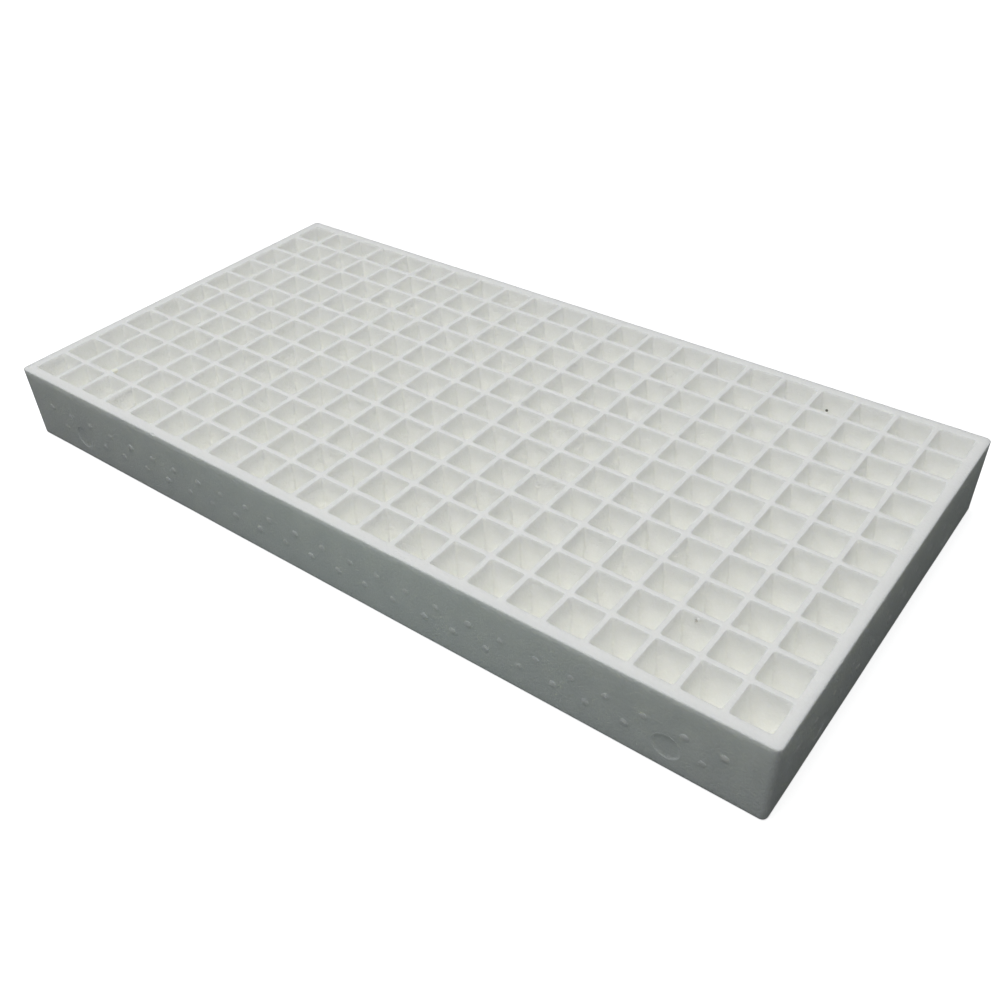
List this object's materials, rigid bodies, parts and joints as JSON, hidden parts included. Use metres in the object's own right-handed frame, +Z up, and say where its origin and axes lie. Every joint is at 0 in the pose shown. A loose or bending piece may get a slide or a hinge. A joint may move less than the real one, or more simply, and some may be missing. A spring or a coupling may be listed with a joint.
{
  "type": "plug tray",
  "caption": "Rectangular expanded-polystyrene plug tray: a grid of square tapered cells, open at the top and drained through the underside, for raising seedlings.",
  "frame": {"origin": "centre of the underside, on the surface that the tray stands on", "axes": "+X along the long side, +Y from the front long side to the back long side, +Z up out of the cells"},
  "size_m": [0.673, 0.343, 0.0635],
  "materials": {
    "eps_foam": "matte"
  },
  "bodies": {
    "root": {"front_wall": "eps_foam", "back_wall": "eps_foam", "left_wall": "eps_foam", "right_wall": "eps_foam", "long_rib_01": "eps_foam", "long_rib_02": "eps_foam", "long_rib_03": "eps_foam", "long_rib_04": "eps_foam", "long_rib_05": "eps_foam", "long_rib_06": "eps_foam", "long_rib_07": "eps_foam", "long_rib_08": "eps_foam", "long_rib_09": "eps_foam", "long_rib_10": "eps_foam", "cross_rib_01": "eps_foam", "cross_rib_02": "eps_foam", "cross_rib_03": "eps_foam", "cross_rib_04": "eps_foam", "cross_rib_05": "eps_foam", "cross_rib_06": "eps_foam", "cross_rib_07": "eps_foam", "cross_rib_08": "eps_foam", "cross_rib_09": "eps_foam", "cross_rib_10": "eps_foam", "cross_rib_11": "eps_foam", "cross_rib_12": "eps_foam", "cross_rib_13": "eps_foam", "cross_rib_14": "eps_foam", "cross_rib_15": "eps_foam", "cross_rib_16": "eps_foam", "cross_rib_17": "eps_foam", "cross_rib_18": "eps_foam", "cross_rib_19": "eps_foam", "cross_rib_20": "eps_foam", "cross_rib_21": "eps_foam"}
  },
  "joints": []
}
